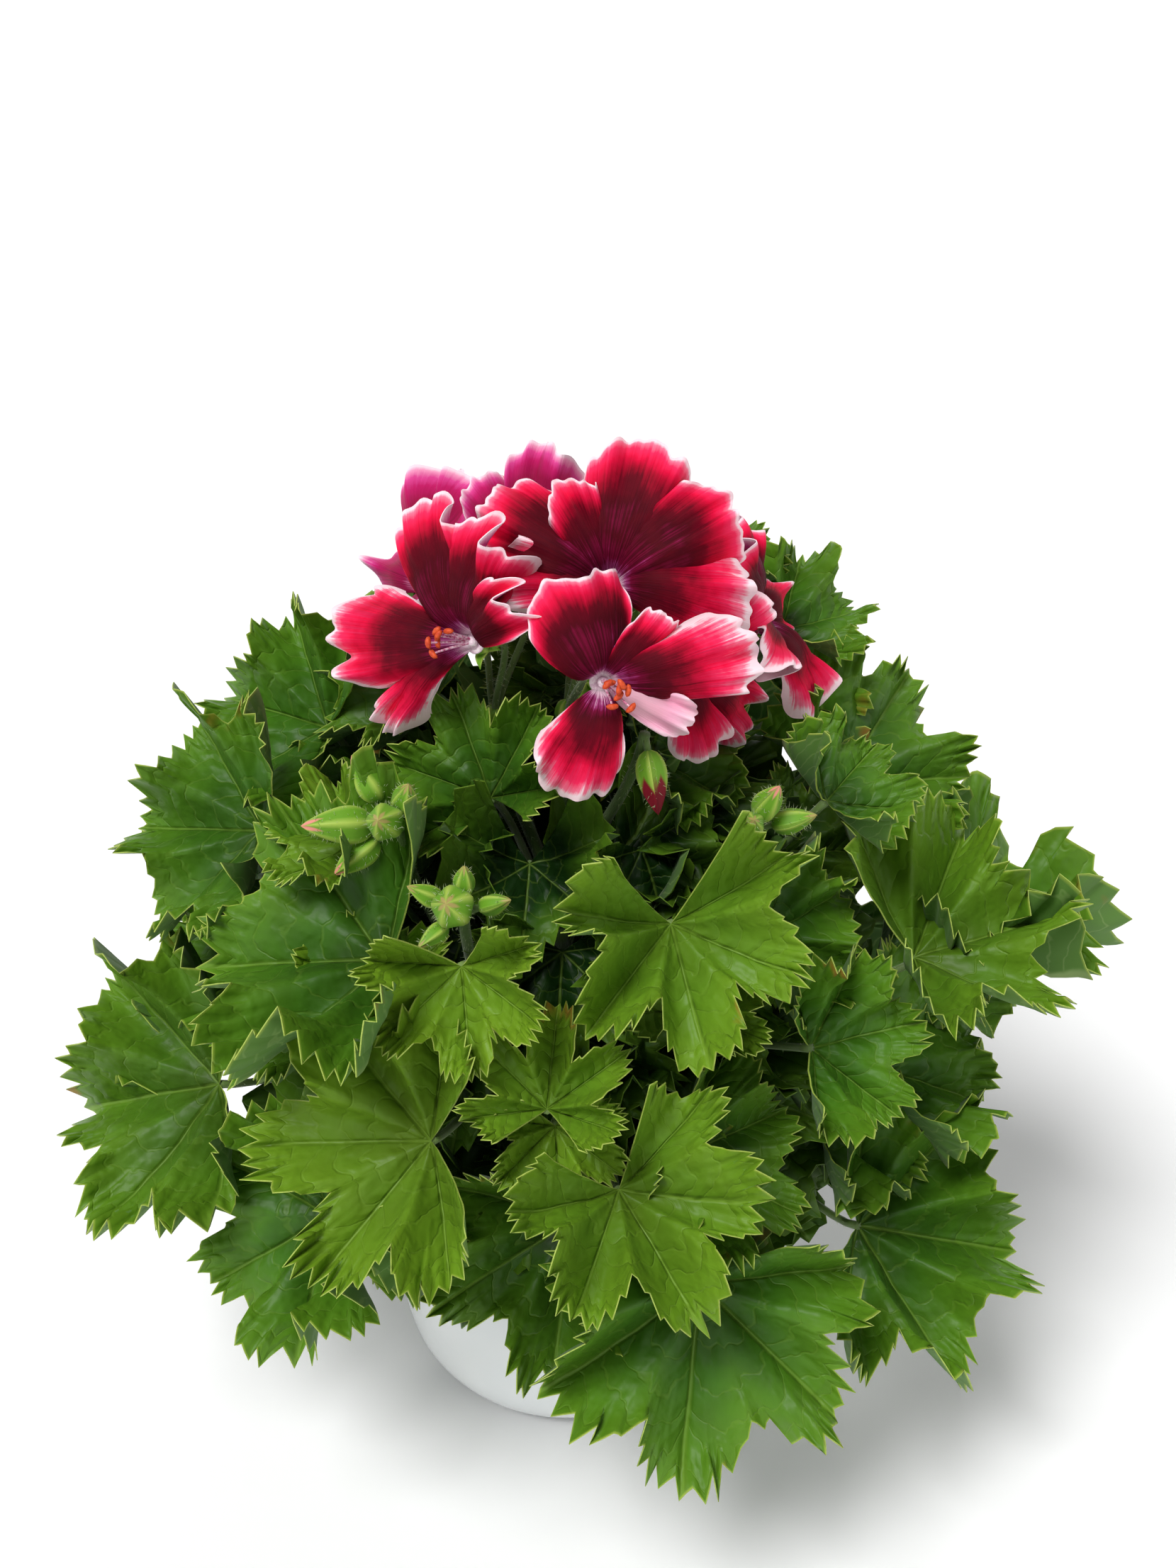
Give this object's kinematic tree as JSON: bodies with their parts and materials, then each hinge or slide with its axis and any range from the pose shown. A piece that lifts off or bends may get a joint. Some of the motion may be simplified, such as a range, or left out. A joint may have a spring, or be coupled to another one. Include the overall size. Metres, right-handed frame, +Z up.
{
  "type": "regal pelargonium",
  "caption": "Bushy flowering pot plant: cupped, toothed leaves make a dome under ruffled two-tone blooms, in a round glazed pot with a narrow foot.",
  "frame": {"origin": "middle of the pot's foot, on the surface it stands on", "axes": "+Z up along the pot's axis, -Y towards the side the picture shows, +X to that side's right"},
  "size_m": [0.3245, 0.273, 0.3258],
  "materials": {
    "white_glaze": "gloss",
    "dark_soil": "matte",
    "green_leaf": "satin",
    "petal_red": "satin",
    "stamen_orange": "matte"
  },
  "bodies": {
    "root": {"pot": "white_glaze", "soil": "dark_soil", "shoot_middle": "green_leaf", "shoot_front_left": "green_leaf", "shoot_front_right": "green_leaf", "shoot_right": "green_leaf", "shoot_left": "green_leaf", "shoot_back_right": "green_leaf", "shoot_back_left": "green_leaf", "bloom_left": "petal_red", "bloom_left_back": "petal_red", "bloom_top_left": "petal_red", "bloom_top": "petal_red", "blooms_right": "petal_red", "bloom_front": "petal_red", "bloom_back": "petal_red", "bloom_left_stamens": "stamen_orange", "bloom_front_stamens": "stamen_orange"}
  },
  "joints": []
}
